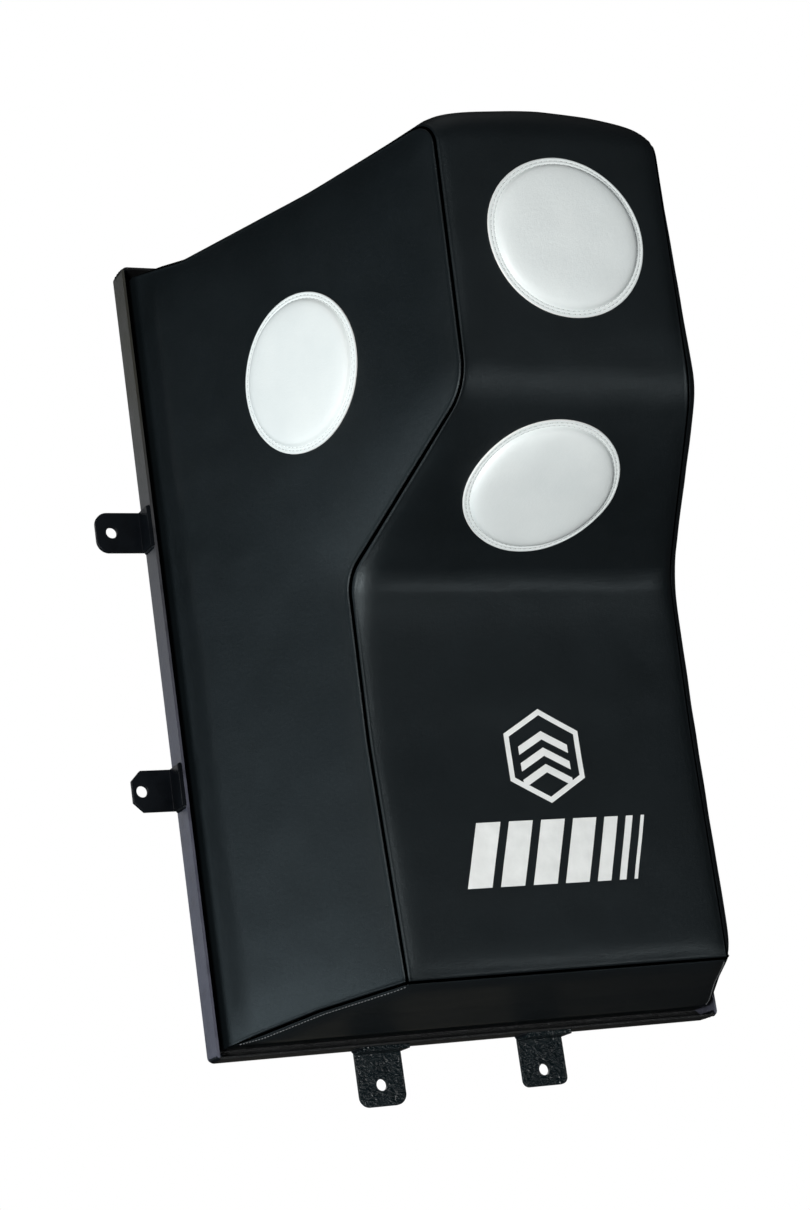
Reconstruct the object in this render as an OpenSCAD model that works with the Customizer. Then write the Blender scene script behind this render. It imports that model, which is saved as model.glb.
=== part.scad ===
// Wall-mounted punching pad: a leather-covered foam wedge with a forward head block, an
// undercut uppercut slope and a body face, held in a welded angle-iron frame that bolts to a wall.
// X is to the right, Y runs into the wall, Z is up. The wall plane is y = 0 and the origin is the
// centre of the four bolt holes in the side ears.

/* [Frame] */
// Width over the angle-iron frame
frame_w = 615; // [560:1:700]
// Height over the angle-iron frame
frame_h = 900; // [840:1:960]
// Leg length of the equal angle
angle_leg = 30; // [26:1:36]
// Thickness of the angle
angle_t = 3; // [2.5:0.5:4]
// Radius of the frame's outer corners
frame_corner = 7; // [0.5:0.5:8]
// Height of the frame's centre above the centre of the side bolt pattern
frame_rise = 6; // [0:1:12]

/* [Wall ears] */
// Thickness of the ear plates
ear_t = 5; // [4:0.5:6]
// Width of the ears on the sides
side_ear_w = 46; // [40:1:56]
// Width of the ears above and below
end_ear_w = 55; // [48:1:64]
// Reach of the upper left ear past the frame
side_ear_len = 57; // [54:1:70]
// Reach of the chamfered ear and of the right-hand ears past the frame
short_ear_len = 50; // [50:1:60]
// Reach of the lower left ear of the bottom rail past the frame
end_ear_len = 62; // [56:1:72]
// Reach of the other upper and lower ears past the frame
end_ear_short = 57; // [54:1:66]
// Distance of each bolt hole from the frame's outer edge
hole_out = 39; // [34:1:42]
// Diameter of the bolt holes
hole_d = 13; // [9:0.5:15]
// Height between the two bolt holes on a side
side_pitch = 294; // [200:1:400]
// Distance between the two bolt holes above or below
end_pitch = 200; // [140:1:300]
// Sideways offset of the upper and lower ears
end_shift = -12; // [-20:1:20]

/* [Pad] */
// Half width of the padded block where it leaves the frame
base_half = 295; // [285:1:298]
// Narrowing of the sides for each unit of depth, beside the body
body_slope = 0.458; // [0.42:0.002:0.47]
// Narrowing of the sides for each unit of depth, beside the head
head_slope = 0.374; // [0.35:0.002:0.39]
// Gap between the frame's outer edge and the pad, where the pad leaves the frame
edge_gap = 12; // [8:0.5:16]
// Height of the body face's bottom edge above the frame's bottom
body_low_up = 31.5; // [26:0.5:38]
// Depth of the body face at its bottom edge
body_d = 258; // [245:1:270]
// Depth of the body face at the crease below the head
crease_d = 252; // [240:1:262]
// Height of that crease above the frame's bottom
crease_up = 456; // [440:1:480]
// Depth of the head face at its lower edge
head_low_d = 463; // [440:1:475]
// Height of the head's lower edge above the frame's bottom
head_low_up = 590; // [575:1:610]
// Depth of the head face at its top
head_top_d = 477; // [460:1:485]
// Height of the head's top edge above the frame's bottom
head_top_up = 876; // [868:1:882]
// Thickness of the leather
skin_t = 1.5; // [1:0.1:2]
// Thickness of the soft foam layer behind the front panel
soft_t = 25; // [15:1:35]
// Thickness of the backing board
board_t = 18; // [15:1:21]
// Width of the hem that folds behind the board
hem_w = 40; // [34:1:50]

/* [Targets] */
// Outer diameter of each target disc
target_d = 176; // [170:1:180]
// Diameter of the foam puck behind each target
puck_d = 158; // [140:1:162]
// Thickness of the foam puck
puck_t = 7; // [4:0.5:10]
// Thickness of the target's leather
target_t = 1.5; // [1:0.1:2]
// Sideways offset of the head target
head_target_x = 6; // [-10:1:10]

/* [Hidden] */
$fn = 48;

eps = 0.01;
big = 2000;
paint = [0.07, 0.07, 0.08];
leather = [0.09, 0.11, 0.12];
zc = frame_rise;
zlo = zc - frame_h / 2;
zhi = zc + frame_h / 2;
hw = frame_w / 2;
back_d = angle_t;
board_d0 = back_d + skin_t;
board_d1 = board_d0 + board_t;
pad_lo = zlo + edge_gap;
pad_hi = zhi - edge_gap;
// the top panel dips from the frame to this depth, then runs level to the head
top_bend_d = 110;
// side ears sit about the origin, so the frame's rise doesn't move them
side_z = side_pitch / 2;
end_x = end_pitch / 2;
screw_x = hw - 22;
screw_z = [-330, -110, 110, 330];
staple_pitch = 46;
bead = 3;

// Half width of the pad at depth d, for sides that narrow by k for each unit of depth
function half_at(d, k) = base_half - k * max(0, d - angle_leg);
// Plan outline from depth d0 forwards, pulled in by t, going round
function plan(k, t, d0) = let (w = base_half - t * 1.09, d1 = head_top_d + 40, v = half_at(d1, k) - t * 1.09)
    [[-w, -d0], [-w, -angle_leg], [-v, -d1], [v, -d1], [w, -angle_leg], [w, -d0]];

// Sharp corners of the pad's side outline as [depth, height, fillet radius], going round from
// the lower back corner along the bottom, up the front and back along the top
outline = [
    [board_d0, pad_lo, 0], [angle_leg, pad_lo, 0], [body_d, zlo + body_low_up, 6],
    [crease_d, zlo + crease_up, 58], [head_low_d, zlo + head_low_up, 40],
    [head_top_d, zlo + head_top_up, 24], [top_bend_d, zlo + head_top_up - 1, 40],
    [angle_leg, pad_hi, 0], [board_d0, pad_hi, 0]];
function edge_n(p, q) = let (v = [q[0] - p[0], q[1] - p[1]]) [-v[1], v[0]] / norm(v);
// Where two lines meet: p + s*u and q + r*v
function cross_at(p, u, q, v) = let (k = u[0] * v[1] - u[1] * v[0])
    p + u * (((q[0] - p[0]) * v[1] - (q[1] - p[1]) * v[0]) / k);
// Outline with edge i pulled in by ts[i]
function inset(o, ts) = let (n = len(o)) [for (i = [0 : n - 1])
    let (a = o[(i + n - 1) % n], b = o[i], c = o[(i + 1) % n],
        na = edge_n(a, b), nb = edge_n(b, c), ta = ts[(i + n - 1) % n], tb = ts[i],
        pa = [b[0], b[1]] + na * ta, pb = [b[0], b[1]] + nb * tb,
        ua = [b[0] - a[0], b[1] - a[1]], ub = [c[0] - b[0], c[1] - b[1]],
        turn = ua[0] * ub[1] - ua[1] * ub[0],
        m = abs(turn) < 1 ? pa : cross_at(pa, ua, pb, ub),
        r = b[2] == 0 ? 0 : turn > 0 ? max(b[2] - ta, 1) : b[2] + ta)
    [m[0], m[1], r]];
// Rounded corner b between a and c
function corner(a, b, c, steps) = b[2] == 0 ? [[-b[0], b[1]]] :
    let (u = [a[0] - b[0], a[1] - b[1]], v = [c[0] - b[0], c[1] - b[1]],
        un = u / norm(u), vn = v / norm(v), half = acos(un * vn) / 2,
        tl = b[2] / tan(half), mid = (un + vn) / norm(un + vn),
        o = [b[0], b[1]] + mid * (b[2] / sin(half)),
        s = [b[0], b[1]] + un * tl - o, e = [b[0], b[1]] + vn * tl - o,
        a0 = atan2(s[1], s[0]), a1 = atan2(e[1], e[0]),
        sweep = ((a1 - a0 + 540) % 360) - 180)
    [for (i = [0 : steps]) let (g = a0 + sweep * i / steps) [-o[0] - b[2] * cos(g), o[1] + b[2] * sin(g)]];
function rounded(o) = let (n = len(o)) [for (i = [0 : n - 1])
    each corner(o[(i + n - 1) % n], o[i], o[(i + 1) % n], 6)];

out0 = outline;
out1 = inset(outline, [for (i = [0 : 8]) i == 8 ? 0 : skin_t]);
out2 = inset(outline, [for (i = [0 : 8]) i == 8 ? 0 : i >= 2 && i <= 4 ? skin_t + soft_t : skin_t]);
cut_z = zlo + crease_up;

// Side outline swept across the pad
module across(o) {
    rotate([90, 0, 90])
        linear_extrude(height = frame_w, center = true)
            polygon(rounded(o));
}

// The pad's plan carried up its height, pulled in by t and starting at depth d0. The sides lean in
// more beside the body than beside the head, with a twisted stretch next to the slope.
module upright(t, d0) {
    ks = [body_slope, body_slope, head_slope, head_slope];
    zs = [zlo - 60, zlo + crease_up, zlo + head_low_up, zhi + 60];
    pts = [for (i = [0 : 3]) each [for (p = plan(ks[i], t, d0)) [p[0], p[1], zs[i]]]];
    walls = [for (i = [0 : 2]) each [for (j = [0 : 5]) each let (a = 6 * i + j, b = 6 * i + (j + 1) % 6)
        j < 3 ? [[a, b, a + 6], [b, b + 6, a + 6]] : [[a, b, b + 6], [a, b + 6, a + 6]]]];
    polyhedron(points = pts, faces = concat([[0, 1, 2, 3, 4, 5]], walls_out(walls), [[23, 22, 21, 20, 19, 18]]));
}
function walls_out(w) = [for (f = w) [f[2], f[1], f[0]]];

module block(x0, x1, d0, d1, z0, z1) {
    translate([x0, -d1, z0])
        cube([x1 - x0, d1 - d0, z1 - z0]);
}

// Half space in front of, or behind, the line through p and q in the side view
module wedge(pts) {
    rotate([90, 0, 90])
        linear_extrude(height = big, center = true)
            polygon([for (p = pts) [-p[0], p[1]]]);
}

// Screws that hold the board, drawn grown by g for their holes
module screws(g) {
    for (sx = [-1, 1])
        for (z = screw_z)
            translate([sx * screw_x, 0, zc + z])
                rotate([90, 0, 0]) {
                    cylinder(h = angle_t, d1 = 9 + g, d2 = 4.5 + g);
                    translate([0, 0, angle_t])
                        cylinder(h = 13 + g, d = 4.5 + g);
                }
}

// One rail of the frame lying along X with its lip below, mitred at both ends
module rail(len) {
    difference() {
        rotate([90, 0, 90])
            linear_extrude(height = len, center = true)
                polygon([[0, 0], [0, angle_leg], [-angle_t, angle_leg], [-angle_t, angle_t],
                    [-angle_leg, angle_t], [-angle_leg, 0]]);
        for (s = [-1, 1])
            translate([s * len / 2, 0, 0])
                rotate([0, -s * 45, 0])
                    translate([s > 0 ? 0 : -100, -50, -100])
                        cube([100, 100, 200]);
    }
}

// Trims the frame's four outer corners round
module trimmed() {
    r = frame_corner;
    intersection() {
        children();
        translate([0, eps, zc])
            rotate([90, 0, 0])
                linear_extrude(height = angle_leg + 2 * eps) {
                    square([frame_w - 2 * r, frame_h], center = true);
                    square([frame_w, frame_h - 2 * r], center = true);
                    for (sx = [-1, 1])
                        for (sz = [-1, 1])
                            translate([sx * (hw - r), sz * (frame_h / 2 - r)])
                                circle(r = r);
                }
    }
}
module frame_rail_bottom() { color(paint) trimmed() translate([0, 0, zlo]) rail(frame_w); }
module frame_rail_top() { color(paint) trimmed() translate([0, 0, zhi]) rotate([0, 180, 0]) rail(frame_w); }
module side_rail(s) {
    difference() {
        trimmed()
            translate([s * hw, 0, zc])
                rotate([0, -s * 90, 0])
                    rail(frame_h);
        screws(0);
    }
}
module frame_rail_left() { color(paint) side_rail(-1); }
module frame_rail_right() { color(paint) side_rail(1); }

// Fillet bead down the inside of each corner, between the two lips
module corner_welds() {
    color(paint)
        for (sx = [-1, 1])
            for (sz = [-1, 1])
                translate([sx * (hw - angle_t), -angle_leg, zc + sz * (frame_h / 2 - angle_t)])
                    scale([sx, 1, sz])
                        rotate([-90, 0, 0])
                            linear_extrude(height = angle_leg - angle_t)
                                polygon([[0, 0], [-2 * bead, 0], [0, 2 * bead]]);
}

// Outline of an ear's outer leg: u runs away from the frame
module ear_outline(w, len, r, cut) {
    difference() {
        union() {
            translate([0, -w / 2])
                square([len - r, w]);
            if (cut)
                polygon([[len - r - eps, -w / 2], [len - r, -w / 2], [len, -w / 2 + r], [len, w / 2 - r],
                    [len - r, w / 2], [len - r - eps, w / 2]]);
            else {
                translate([0, r - w / 2])
                    square([len, w - 2 * r]);
                for (s = [-1, 1])
                    translate([len - r, s * (w / 2 - r)])
                        circle(r = r);
            }
        }
        translate([hole_out, 0])
            circle(d = hole_d);
    }
}

// L bracket: one leg on the lip's outside, the other lying on the wall, pointing along +X
module ear(w, len, r, cut) {
    rotate([90, 0, 0])
        linear_extrude(height = ear_t)
            ear_outline(w, len, r, cut);
    translate([0, -angle_leg, -w / 2])
        cube([ear_t, angle_leg - ear_t, w]);
}

module side_ear(s, z, len, r, cut) {
    color(paint)
        translate([s * hw, 0, z])
            rotate([0, s > 0 ? 0 : 180, 0])
                ear(side_ear_w, len, r, cut);
}
module end_ear(s, x, len, r) {
    color(paint)
        translate([x, 0, zc + s * frame_h / 2])
            rotate([0, -s * 90, 0])
                ear(end_ear_w, len, r, false);
}
module ear_left_upper() { side_ear(-1, side_z, side_ear_len, 14, false); }
module ear_left_lower() { side_ear(-1, -side_z, short_ear_len, 11, true); }
module ear_right_upper() { side_ear(1, side_z, short_ear_len, 11, false); }
module ear_right_lower() { side_ear(1, -side_z, short_ear_len, 15, true); }
module ear_top_left() { end_ear(1, end_shift - end_x, end_ear_short, 12); }
module ear_top_right() { end_ear(1, end_shift + end_x, end_ear_short, 12); }
module ear_bottom_left() { end_ear(-1, end_shift - end_x, end_ear_len, 12); }
module ear_bottom_right() { end_ear(-1, end_shift + end_x, end_ear_short, 8); }

// Beads along both edges of each ear's welded leg
module bead_pair(w) {
    for (s = [-1, 1])
        scale([1, 1, s])
            translate([0, -angle_leg, w / 2])
                rotate([-90, 0, 0])
                    linear_extrude(height = angle_leg)
                        polygon([[0, 0], [bead, 0], [0, -bead]]);
}
module ear_welds() {
    color(paint) {
        for (s = [-1, 1])
            for (z = [-side_z, side_z])
                translate([s * hw, 0, z])
                    rotate([0, s > 0 ? 0 : 180, 0])
                        bead_pair(side_ear_w);
        for (s = [-1, 1])
            for (x = [-end_x, end_x])
                translate([end_shift + x, 0, zc + s * frame_h / 2])
                    rotate([0, -s * 90, 0])
                        bead_pair(end_ear_w);
    }
}

module backboard() {
    color([0.72, 0.58, 0.4])
        difference() {
            block(skin_t * 1.09 - base_half, base_half - skin_t * 1.09, board_d0, board_d1,
                pad_lo + skin_t, pad_hi - skin_t);
            screws(0);
        }
}
module board_screws() { color([0.6, 0.6, 0.62]) screws(0); }

module core() {
    intersection() {
        across(out2);
        upright(skin_t, board_d1);
    }
}
// Firm block behind the body face
module foam_core_body() {
    color([0.5, 0.45, 0.55])
        intersection() {
            core();
            block(-big, big, board_d1, big, -big, cut_z);
        }
}
// Firm block of the head and the slope below it
module foam_core_head() {
    color([0.45, 0.5, 0.55])
        intersection() {
            core();
            block(-big, big, board_d1, big, cut_z, big);
        }
}
// Soft layer between the firm blocks and the front panel, in three pieces
module soft_layer() {
    difference() {
        intersection() {
            across(out1);
            upright(skin_t, board_d1);
        }
        across(out2);
    }
}
crease_in = [out2[3][0], out2[3][1]];
lip_in = [out2[4][0], out2[4][1]];
module foam_face_body() {
    color([0.85, 0.83, 0.7])
        intersection() {
            soft_layer();
            wedge([crease_in + [-60, 0], crease_in, crease_in + [200, -84], [big, -big], [crease_d - 60, -big]]);
        }
}
module foam_face_slope() {
    color([0.85, 0.83, 0.75])
        intersection() {
            soft_layer();
            wedge([crease_in + [-60, 0], crease_in, crease_in + [200, -84], lip_in + [200, -84],
                lip_in, lip_in + [-60, 25], crease_in + [-60, 25]]);
        }
}
module foam_face_head() {
    color([0.85, 0.8, 0.7])
        intersection() {
            soft_layer();
            wedge([lip_in + [-60, 25], lip_in, lip_in + [200, -84], [big, big], [head_low_d - 60, big]]);
        }
}

// Side panel with the hem that folds behind the board
module side_skin(s) {
    color(leather)
        difference() {
            union() {
                intersection() {
                    across(out0);
                    upright(0, board_d0);
                    scale([s, 1, 1])
                        block(20, big, 0, big, -big, big);
                }
                scale([s, 1, 1])
                    block(base_half - hem_w, base_half, back_d, board_d0, pad_lo, pad_hi);
            }
            upright(skin_t, board_d0);
            screws(0);
        }
}
module skin_left() { side_skin(-1); }
module skin_right() { side_skin(1); }

// Everything in the side view that lies under the bottom panel's inner face
module under() {
    wedge([[-10, out1[1][1]], [out1[1][0], out1[1][1]], [out1[2][0], out1[2][1]],
        out_point(1.2), [big, -big], [-10, -big]]);
}
function out_point(k) = let (a = out1[1], b = out1[2]) [b[0] + (b[0] - a[0]) * k, b[1] + (b[1] - a[1]) * k];
module strip() {
    difference() {
        intersection() {
            across(out0);
            upright(skin_t, board_d0);
        }
        across(out1);
    }
}
// One strip: up the body, the slope and the head, over the top and behind the board
module skin_front() {
    color(leather)
        union() {
            difference() {
                strip();
                under();
            }
            block(hem_w - base_half, base_half - hem_w, back_d, board_d0, pad_hi - hem_w, pad_hi);
        }
}
module skin_bottom() {
    color(leather)
        union() {
            intersection() {
                strip();
                under();
            }
            block(hem_w - base_half, base_half - hem_w, back_d, board_d0, pad_lo, pad_lo + hem_w);
        }
}

// Staples through the hem, in the gap inside the frame
module hem_staples() {
    color([0.7, 0.7, 0.72]) {
        for (sx = [-1, 1])
            for (z = [-8 : 8])
                translate([sx * (base_half - 30) - 0.6, -back_d, zc + z * staple_pitch - 5.5])
                    cube([1.2, 0.7, 11]);
        for (z = [pad_lo + 24, pad_hi - 24])
            for (x = [-5 : 5])
                translate([x * staple_pitch - 5.5, -back_d, z - 0.6])
                    cube([11, 0.7, 1.2]);
    }
}

// Foam puck and its leather cover, drawn about the target's own axis
module puck() {
    color([0.85, 0.83, 0.7])
        cylinder(h = puck_t, d1 = puck_d, d2 = puck_d - 14, $fn = 96);
}
module cover() {
    color([0.93, 0.94, 0.93])
        rotate_extrude($fn = 96)
            polygon([[0, puck_t], [puck_d / 2 - 7, puck_t], [puck_d / 2, 0], [target_d / 2, 0],
                [target_d / 2, target_t], [puck_d / 2 + 1, target_t],
                [puck_d / 2 - 6, puck_t + target_t], [0, puck_t + target_t]]);
}
slope_a = atan2(head_low_up - crease_up, head_low_d - crease_d);
head_a = atan2(head_top_d - head_low_d, head_top_up - head_low_up);
side_a = atan(head_slope);
side_target_d = 254;
side_target_up = 686;
module on_head() {
    k = 0.573;
    translate([head_target_x, -head_low_d - k * (head_top_d - head_low_d),
        zlo + head_low_up + k * (head_top_up - head_low_up)])
        rotate([90 + head_a, 0, 0])
            children();
}
module on_slope() {
    translate([0, -(crease_d + head_low_d) / 2, zlo + (crease_up + head_low_up) / 2])
        rotate([180 - slope_a, 0, 0])
            children();
}
module on_side(s) {
    translate([s * half_at(side_target_d, head_slope), -side_target_d, zlo + side_target_up])
        rotate([0, 0, s > 0 ? -side_a : side_a])
            rotate([0, s * 90, 0])
                children();
}
module target_puck_head() { on_head() puck(); }
module target_cover_head() { on_head() cover(); }
module target_puck_slope() { on_slope() puck(); }
module target_cover_slope() { on_slope() cover(); }
module target_puck_left() { on_side(-1) puck(); }
module target_cover_left() { on_side(-1) cover(); }
module target_puck_right() { on_side(1) puck(); }
module target_cover_right() { on_side(1) cover(); }

frame_rail_left();
frame_rail_right();
frame_rail_top();
frame_rail_bottom();
corner_welds();
ear_left_upper();
ear_left_lower();
ear_right_upper();
ear_right_lower();
ear_top_left();
ear_top_right();
ear_bottom_left();
ear_bottom_right();
ear_welds();
backboard();
board_screws();
foam_core_body();
foam_core_head();
foam_face_body();
foam_face_slope();
foam_face_head();
skin_left();
skin_right();
skin_front();
skin_bottom();
hem_staples();
target_puck_head();
target_cover_head();
target_puck_slope();
target_cover_slope();
target_puck_left();
target_cover_left();
target_puck_right();
target_cover_right();
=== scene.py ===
import bpy, bmesh, math, random
import numpy as np
from mathutils import Matrix, Vector, noise


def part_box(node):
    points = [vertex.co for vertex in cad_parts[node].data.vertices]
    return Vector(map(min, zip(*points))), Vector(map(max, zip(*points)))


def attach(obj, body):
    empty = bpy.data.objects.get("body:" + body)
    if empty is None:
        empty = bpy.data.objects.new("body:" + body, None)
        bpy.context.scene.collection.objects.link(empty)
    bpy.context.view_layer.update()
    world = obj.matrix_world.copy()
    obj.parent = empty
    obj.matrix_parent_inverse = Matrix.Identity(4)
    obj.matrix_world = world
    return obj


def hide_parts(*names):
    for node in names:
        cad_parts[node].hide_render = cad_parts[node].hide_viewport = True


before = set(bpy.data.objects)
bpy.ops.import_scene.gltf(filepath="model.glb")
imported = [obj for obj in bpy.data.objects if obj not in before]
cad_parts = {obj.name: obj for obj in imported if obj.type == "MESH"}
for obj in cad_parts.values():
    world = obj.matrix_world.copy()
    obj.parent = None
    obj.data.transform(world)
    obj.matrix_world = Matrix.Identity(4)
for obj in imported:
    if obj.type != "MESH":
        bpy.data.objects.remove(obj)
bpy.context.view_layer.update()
scene = bpy.context.scene
random.seed(7)

# ---------------------------------------------------------------- sizes, all in metres
RAILS = ["frame_rail_left", "frame_rail_right", "frame_rail_top", "frame_rail_bottom"]
EARS = ["ear_left_upper", "ear_left_lower", "ear_right_upper", "ear_right_lower",
        "ear_top_left", "ear_top_right", "ear_bottom_left", "ear_bottom_right"]
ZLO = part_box("frame_rail_bottom")[0].z
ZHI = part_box("frame_rail_top")[1].z
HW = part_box("frame_rail_right")[1].x
LIP = -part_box("frame_rail_bottom")[0].y
ZC = (ZLO + ZHI) / 2
BOARD = -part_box("backboard")[1].y            # depth of the board's back face
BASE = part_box("skin_right")[1].x             # half width of the pad at the frame
HEM = 0.040
SKIN = 0.0015
# corners of the pad's side outline: depth, height, fillet radius, half width there
LOWER = (0.2582, ZLO + 0.0315, 0.006, 0.1870)
MIDDLE = (0.2552, ZLO + 0.2800, 0.600, 0.1913)
CREASE = (0.2645, ZLO + 0.4540, 0.045, 0.1923)
CHIN = (0.4632, ZLO + 0.5904, 0.060, 0.1301)
BROW = (0.4775, ZLO + 0.8755, 0.024, 0.1290)
SAG = (0.3000, ZLO + 0.8695, 0.500)
BEND = (0.1100, ZLO + 0.8728, 0.040)
TOPB = (LIP, ZLO + 0.8880)
BOTB = (LIP, ZLO + 0.0120)
# how high each panel stands over its seams: the roll at the stitch line, then the foam's crown
ROLL_H, ROLL_E = 0.0020, 0.0008
CROWN_F, REACH_F = 0.0072, 0.0095
CROWN_S, REACH_S = 0.0085, 0.030
SEAM_STITCH = 0.0040                           # pitch of the seams' needle holes
FLANK_TAPER = 0.381                            # how much a flank leans in per metre of depth, beside its disc


def smooth(x, a, b):
    t = np.clip((np.asarray(x, float) - a) / (b - a), 0, 1)
    return t * t * (3 - 2 * t)


# taper of the flanks against height, softened where the head begins
_z = np.linspace(ZLO, ZLO + 0.9, 361)
_keys = (LOWER, MIDDLE, CREASE, CHIN, BROW)
_zk = [c[1] for c in _keys]
_df = np.interp(_z, _zk, [c[0] for c in _keys])
_wf = np.interp(_z, _zk, [c[3] for c in _keys])
_k = np.exp(-0.5 * (np.arange(-24, 25) / 7.0) ** 2)
_t = (BASE - _wf) / (_df - LIP)
_t = np.convolve(np.pad(_t, 24, mode="edge"), _k / _k.sum(), mode="valid")


def half_width(d, z):
    """Half width of the pad at depth d and height z: flanks ruled from the frame to the front seams."""
    d, z = np.asarray(d, float), np.asarray(z, float)
    return BASE - np.interp(z, _z, _t) * np.maximum(d - LIP, 0)


class Path:
    """A polyline with rounded corners in the side view, walked by arc length."""

    def __init__(self, corners, step=0.002):
        pts = []
        n = len(corners)
        for i, c in enumerate(corners):
            b = np.array(c[:2], float)
            r = c[2] if len(c) > 2 else 0
            if r == 0 or i in (0, n - 1):
                pts.append(b)
                continue
            a, e = (np.array(corners[j][:2], float) for j in (i - 1, i + 1))
            u, v = (a - b) / np.linalg.norm(a - b), (e - b) / np.linalg.norm(e - b)
            half = math.acos(float(np.clip(u @ v, -1, 1))) / 2
            o = b + (u + v) / np.linalg.norm(u + v) * r / math.sin(half)
            s, t = b + u * r / math.tan(half) - o, b + v * r / math.tan(half) - o
            a0, a1 = math.atan2(s[1], s[0]), math.atan2(t[1], t[0])
            sweep = (a1 - a0 + 3 * math.pi) % (2 * math.pi) - math.pi
            k = max(6, int(abs(sweep) * r / step))
            pts += [o + r * np.array([math.cos(a0 + sweep * j / k), math.sin(a0 + sweep * j / k)])
                    for j in range(k + 1)]
        fine = [pts[0]]
        for p, q in zip(pts, pts[1:]):
            k = max(1, int(np.linalg.norm(q - p) / step))
            fine += [p + (q - p) * j / k for j in range(1, k + 1)]
        self.p = np.array(fine)
        self.s = np.concatenate([[0], np.cumsum(np.linalg.norm(np.diff(self.p, axis=0), axis=1))])
        t = np.gradient(self.p, self.s, axis=0)
        t /= np.linalg.norm(t, axis=1)[:, None]
        self.n = np.stack([t[:, 1], -t[:, 0]], 1)
        self.length = self.s[-1]

    def at(self, s):
        s = np.asarray(s, float)
        return np.stack([np.interp(s, self.s, self.p[:, k]) for k in (0, 1)], -1)

    def normal(self, s):
        s = np.asarray(s, float)
        n = np.stack([np.interp(s, self.s, self.n[:, k]) for k in (0, 1)], -1)
        return n / np.linalg.norm(n, axis=-1)[..., None]

    def nearest(self, d, z):
        """Distance to the path and the arc length of its nearest point."""
        shape = np.shape(d)
        q = np.stack([np.ravel(d), np.ravel(z)], 1)
        best, arg = np.full(len(q), 9.0), np.zeros(len(q))
        for i in range(len(self.p) - 1):
            a, v = self.p[i], self.p[i + 1] - self.p[i]
            t = np.clip(((q - a) @ v) / (v @ v), 0, 1)
            e = np.linalg.norm(q - a - t[:, None] * v, axis=1)
            m = e < best
            best[m], arg[m] = e[m], (self.s[i] + t * (self.s[i + 1] - self.s[i]))[m]
        return best.reshape(shape), arg.reshape(shape)


front = Path([LOWER[:2], MIDDLE[:3], CREASE, CHIN, BROW, SAG, BEND, TOPB])
S_CREASE, S_CHIN, S_BROW = (float(front.nearest([c[0]], [c[1]])[1][0]) for c in (CREASE, CHIN, BROW))
bottom = Path([BOTB, (0.150, ZLO + 0.0258, 0.15), LOWER[:2]])


def wander(p, amp, scale, seed=0.0):
    """Slow rise and fall of the leather over the foam."""
    return np.array([noise.noise(Vector(q) * scale + Vector((seed, 3.1 * seed, 0))) for q in p]) * amp


def fade(e, reach):
    return 1 - np.exp(-np.maximum(e, 0) / reach)


# ---------------------------------------------------------------- the leather's surfaces
def roll(e):
    t = np.clip(e / ROLL_E, 0, 1)
    return np.sqrt(np.clip(1 - (1 - t) ** 2, 0, 1)) + 0.35 * np.exp(-((e - 0.0018) / 0.0011) ** 2)


def lifted(pos, nor, seams, crown, reach, d, seed):
    """Moves points out along the normal: a roll at each seam, the crown and the leather's slow waves."""
    r, f = 1.0, 1.0
    for e in seams:
        r, f = r * roll(e), f * fade(e, reach)
    wave = wander(pos, 0.0012, 9, seed) + wander(pos, 0.0006, 26, seed + 5)
    lift = (ROLL_H * r + (crown + wave) * f) * smooth(d, LIP - 0.004, LIP + 0.05)
    return pos + nor * lift[:, None]


def strip_point(path, s, x):
    """Point and normal of a panel that crosses the pad: s along the path, x from side to side."""
    s, x = np.broadcast_arrays(np.asarray(s, float), np.asarray(x, float))
    shape = s.shape
    s, x = s.ravel(), x.ravel()
    dz, n2 = path.at(s), path.normal(s)
    w = half_width(dz[:, 0], dz[:, 1])
    pos = np.stack([x, -dz[:, 0], dz[:, 1]], 1)
    nor = np.stack([0 * x, -n2[:, 0], n2[:, 1]], 1)
    end = s if path is front else path.length - s
    crown = CROWN_F
    if path is front:
        side = np.minimum(w - x, w + x)
        # the top panel lies flat; away from the seams the foam fills the crease and flattens the chin
        crown = CROWN_F * (1 - 0.85 * smooth(s, S_BROW + 0.01, S_BROW + 0.06)) \
            + 0.0070 * np.exp(-((s - S_CREASE) / 0.045) ** 2) \
            - 0.0105 * np.exp(-((s - S_CHIN) / 0.052) ** 2)
    out = lifted(pos, nor, (w - x, w + x, end), crown, REACH_F, dz[:, 0], 1.0 if path is front else 2.0)
    if path is front:
        # the head's top is rounded up from side to side
        out[:, 2] += 0.0210 * fade(side, 0.055) * smooth(s, S_BROW - 0.035, S_BROW + 0.012) \
            * (1 - smooth(s, S_BROW + 0.02, S_BROW + 0.16))
    return out.reshape(shape + (3,)), nor.reshape(shape + (3,))


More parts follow.
